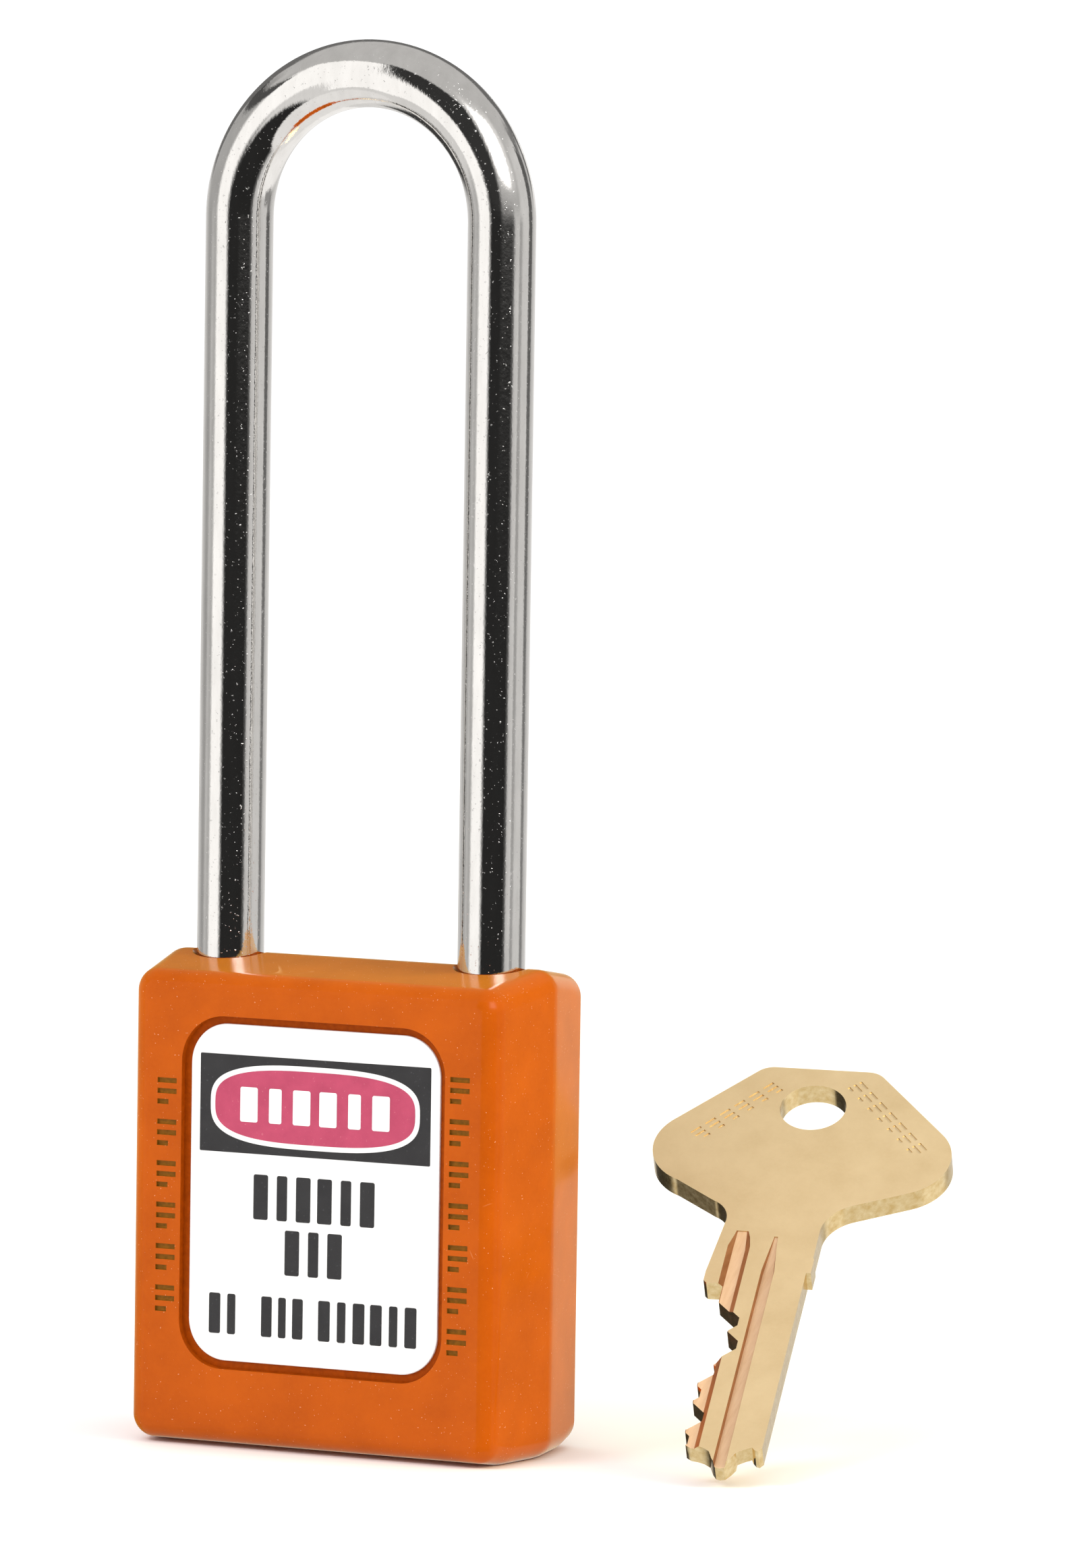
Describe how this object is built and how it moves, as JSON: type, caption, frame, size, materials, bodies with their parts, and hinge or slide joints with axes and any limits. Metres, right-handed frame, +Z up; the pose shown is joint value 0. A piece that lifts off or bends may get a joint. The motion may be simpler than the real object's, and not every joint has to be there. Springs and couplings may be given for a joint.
{
  "type": "safety padlock",
  "caption": "Tall-shackle safety padlock: moulded orange body with a label on each face, long round chromed shackle, pin cylinder in the base, and its flat brass key beside it.",
  "frame": {"origin": "centre of the padlock's base, on the surface it stands on", "axes": "+Z up along the shackle, -Y out of the front label, +X towards the shackle's toe leg"},
  "size_m": [0.0648, 0.0447, 0.1247],
  "materials": {
    "orange_plastic": "satin",
    "label_sheet": "satin",
    "chromed_steel": "polished",
    "spring_steel": "satin",
    "machined_brass": "satin",
    "key_brass": "satin"
  },
  "bodies": {
    "padlock_body": {"body_shell": "orange_plastic", "bottom_plate": "orange_plastic", "front_label": "label_sheet", "back_label": "label_sheet", "shackle_spring": "spring_steel", "heel_pin": "spring_steel", "cylinder_housing": "machined_brass", "cylinder_screw": "spring_steel", "chamber_cover": "machined_brass", "driver_pin_1": "spring_steel", "driver_pin_2": "spring_steel", "driver_pin_3": "spring_steel", "driver_pin_4": "spring_steel", "driver_pin_5": "spring_steel", "driver_pin_6": "spring_steel", "driver_spring_1": "spring_steel", "driver_spring_2": "spring_steel", "driver_spring_3": "spring_steel", "driver_spring_4": "spring_steel", "driver_spring_5": "spring_steel", "driver_spring_6": "spring_steel"},
    "shackle": {"shackle": "chromed_steel"},
    "plug": {"plug": "machined_brass", "plug_clip": "spring_steel", "cam": "machined_brass", "cam_screw": "spring_steel", "key_pin_1": "machined_brass", "key_pin_2": "machined_brass", "key_pin_3": "machined_brass", "key_pin_4": "machined_brass", "key_pin_5": "machined_brass", "key_pin_6": "machined_brass"},
    "toe_ball": {"toe_ball": "spring_steel"},
    "heel_ball": {"heel_ball": "spring_steel"},
    "key": {"key": "key_brass"}
  },
  "joints": [
    {"name": "shackle_slide", "type": "slide", "parent": "padlock_body", "child": "shackle", "axis": [0, 0, 1], "range_m": [0, 0.012], "deforming": ["shackle_spring"]},
    {"name": "plug_turn", "type": "hinge", "parent": "padlock_body", "child": "plug", "pos_m": [0, 0, 0.015], "axis": [0, 0, 1], "range_deg": [0, 90]},
    {"name": "toe_ball_slide", "type": "slide", "parent": "padlock_body", "child": "toe_ball", "axis": [-1, 0, 0], "range_m": [0, 0.00432]},
    {"name": "heel_ball_slide", "type": "slide", "parent": "padlock_body", "child": "heel_ball", "axis": [1, 0, 0], "range_m": [0, 0.00432]},
    {"name": "key_lift", "type": "slide", "parent": "padlock_body", "child": "key", "axis": [0, 0, 1], "range_m": [0, 0.06]}
  ],
  "couplings": [
    {"joint": "plug_turn", "follows": "shackle_slide", "rad_per_m": 130.9},
    {"joint": "toe_ball_slide", "follows": "shackle_slide", "ratio": 0.36},
    {"joint": "heel_ball_slide", "follows": "shackle_slide", "ratio": 0.36}
  ]
}
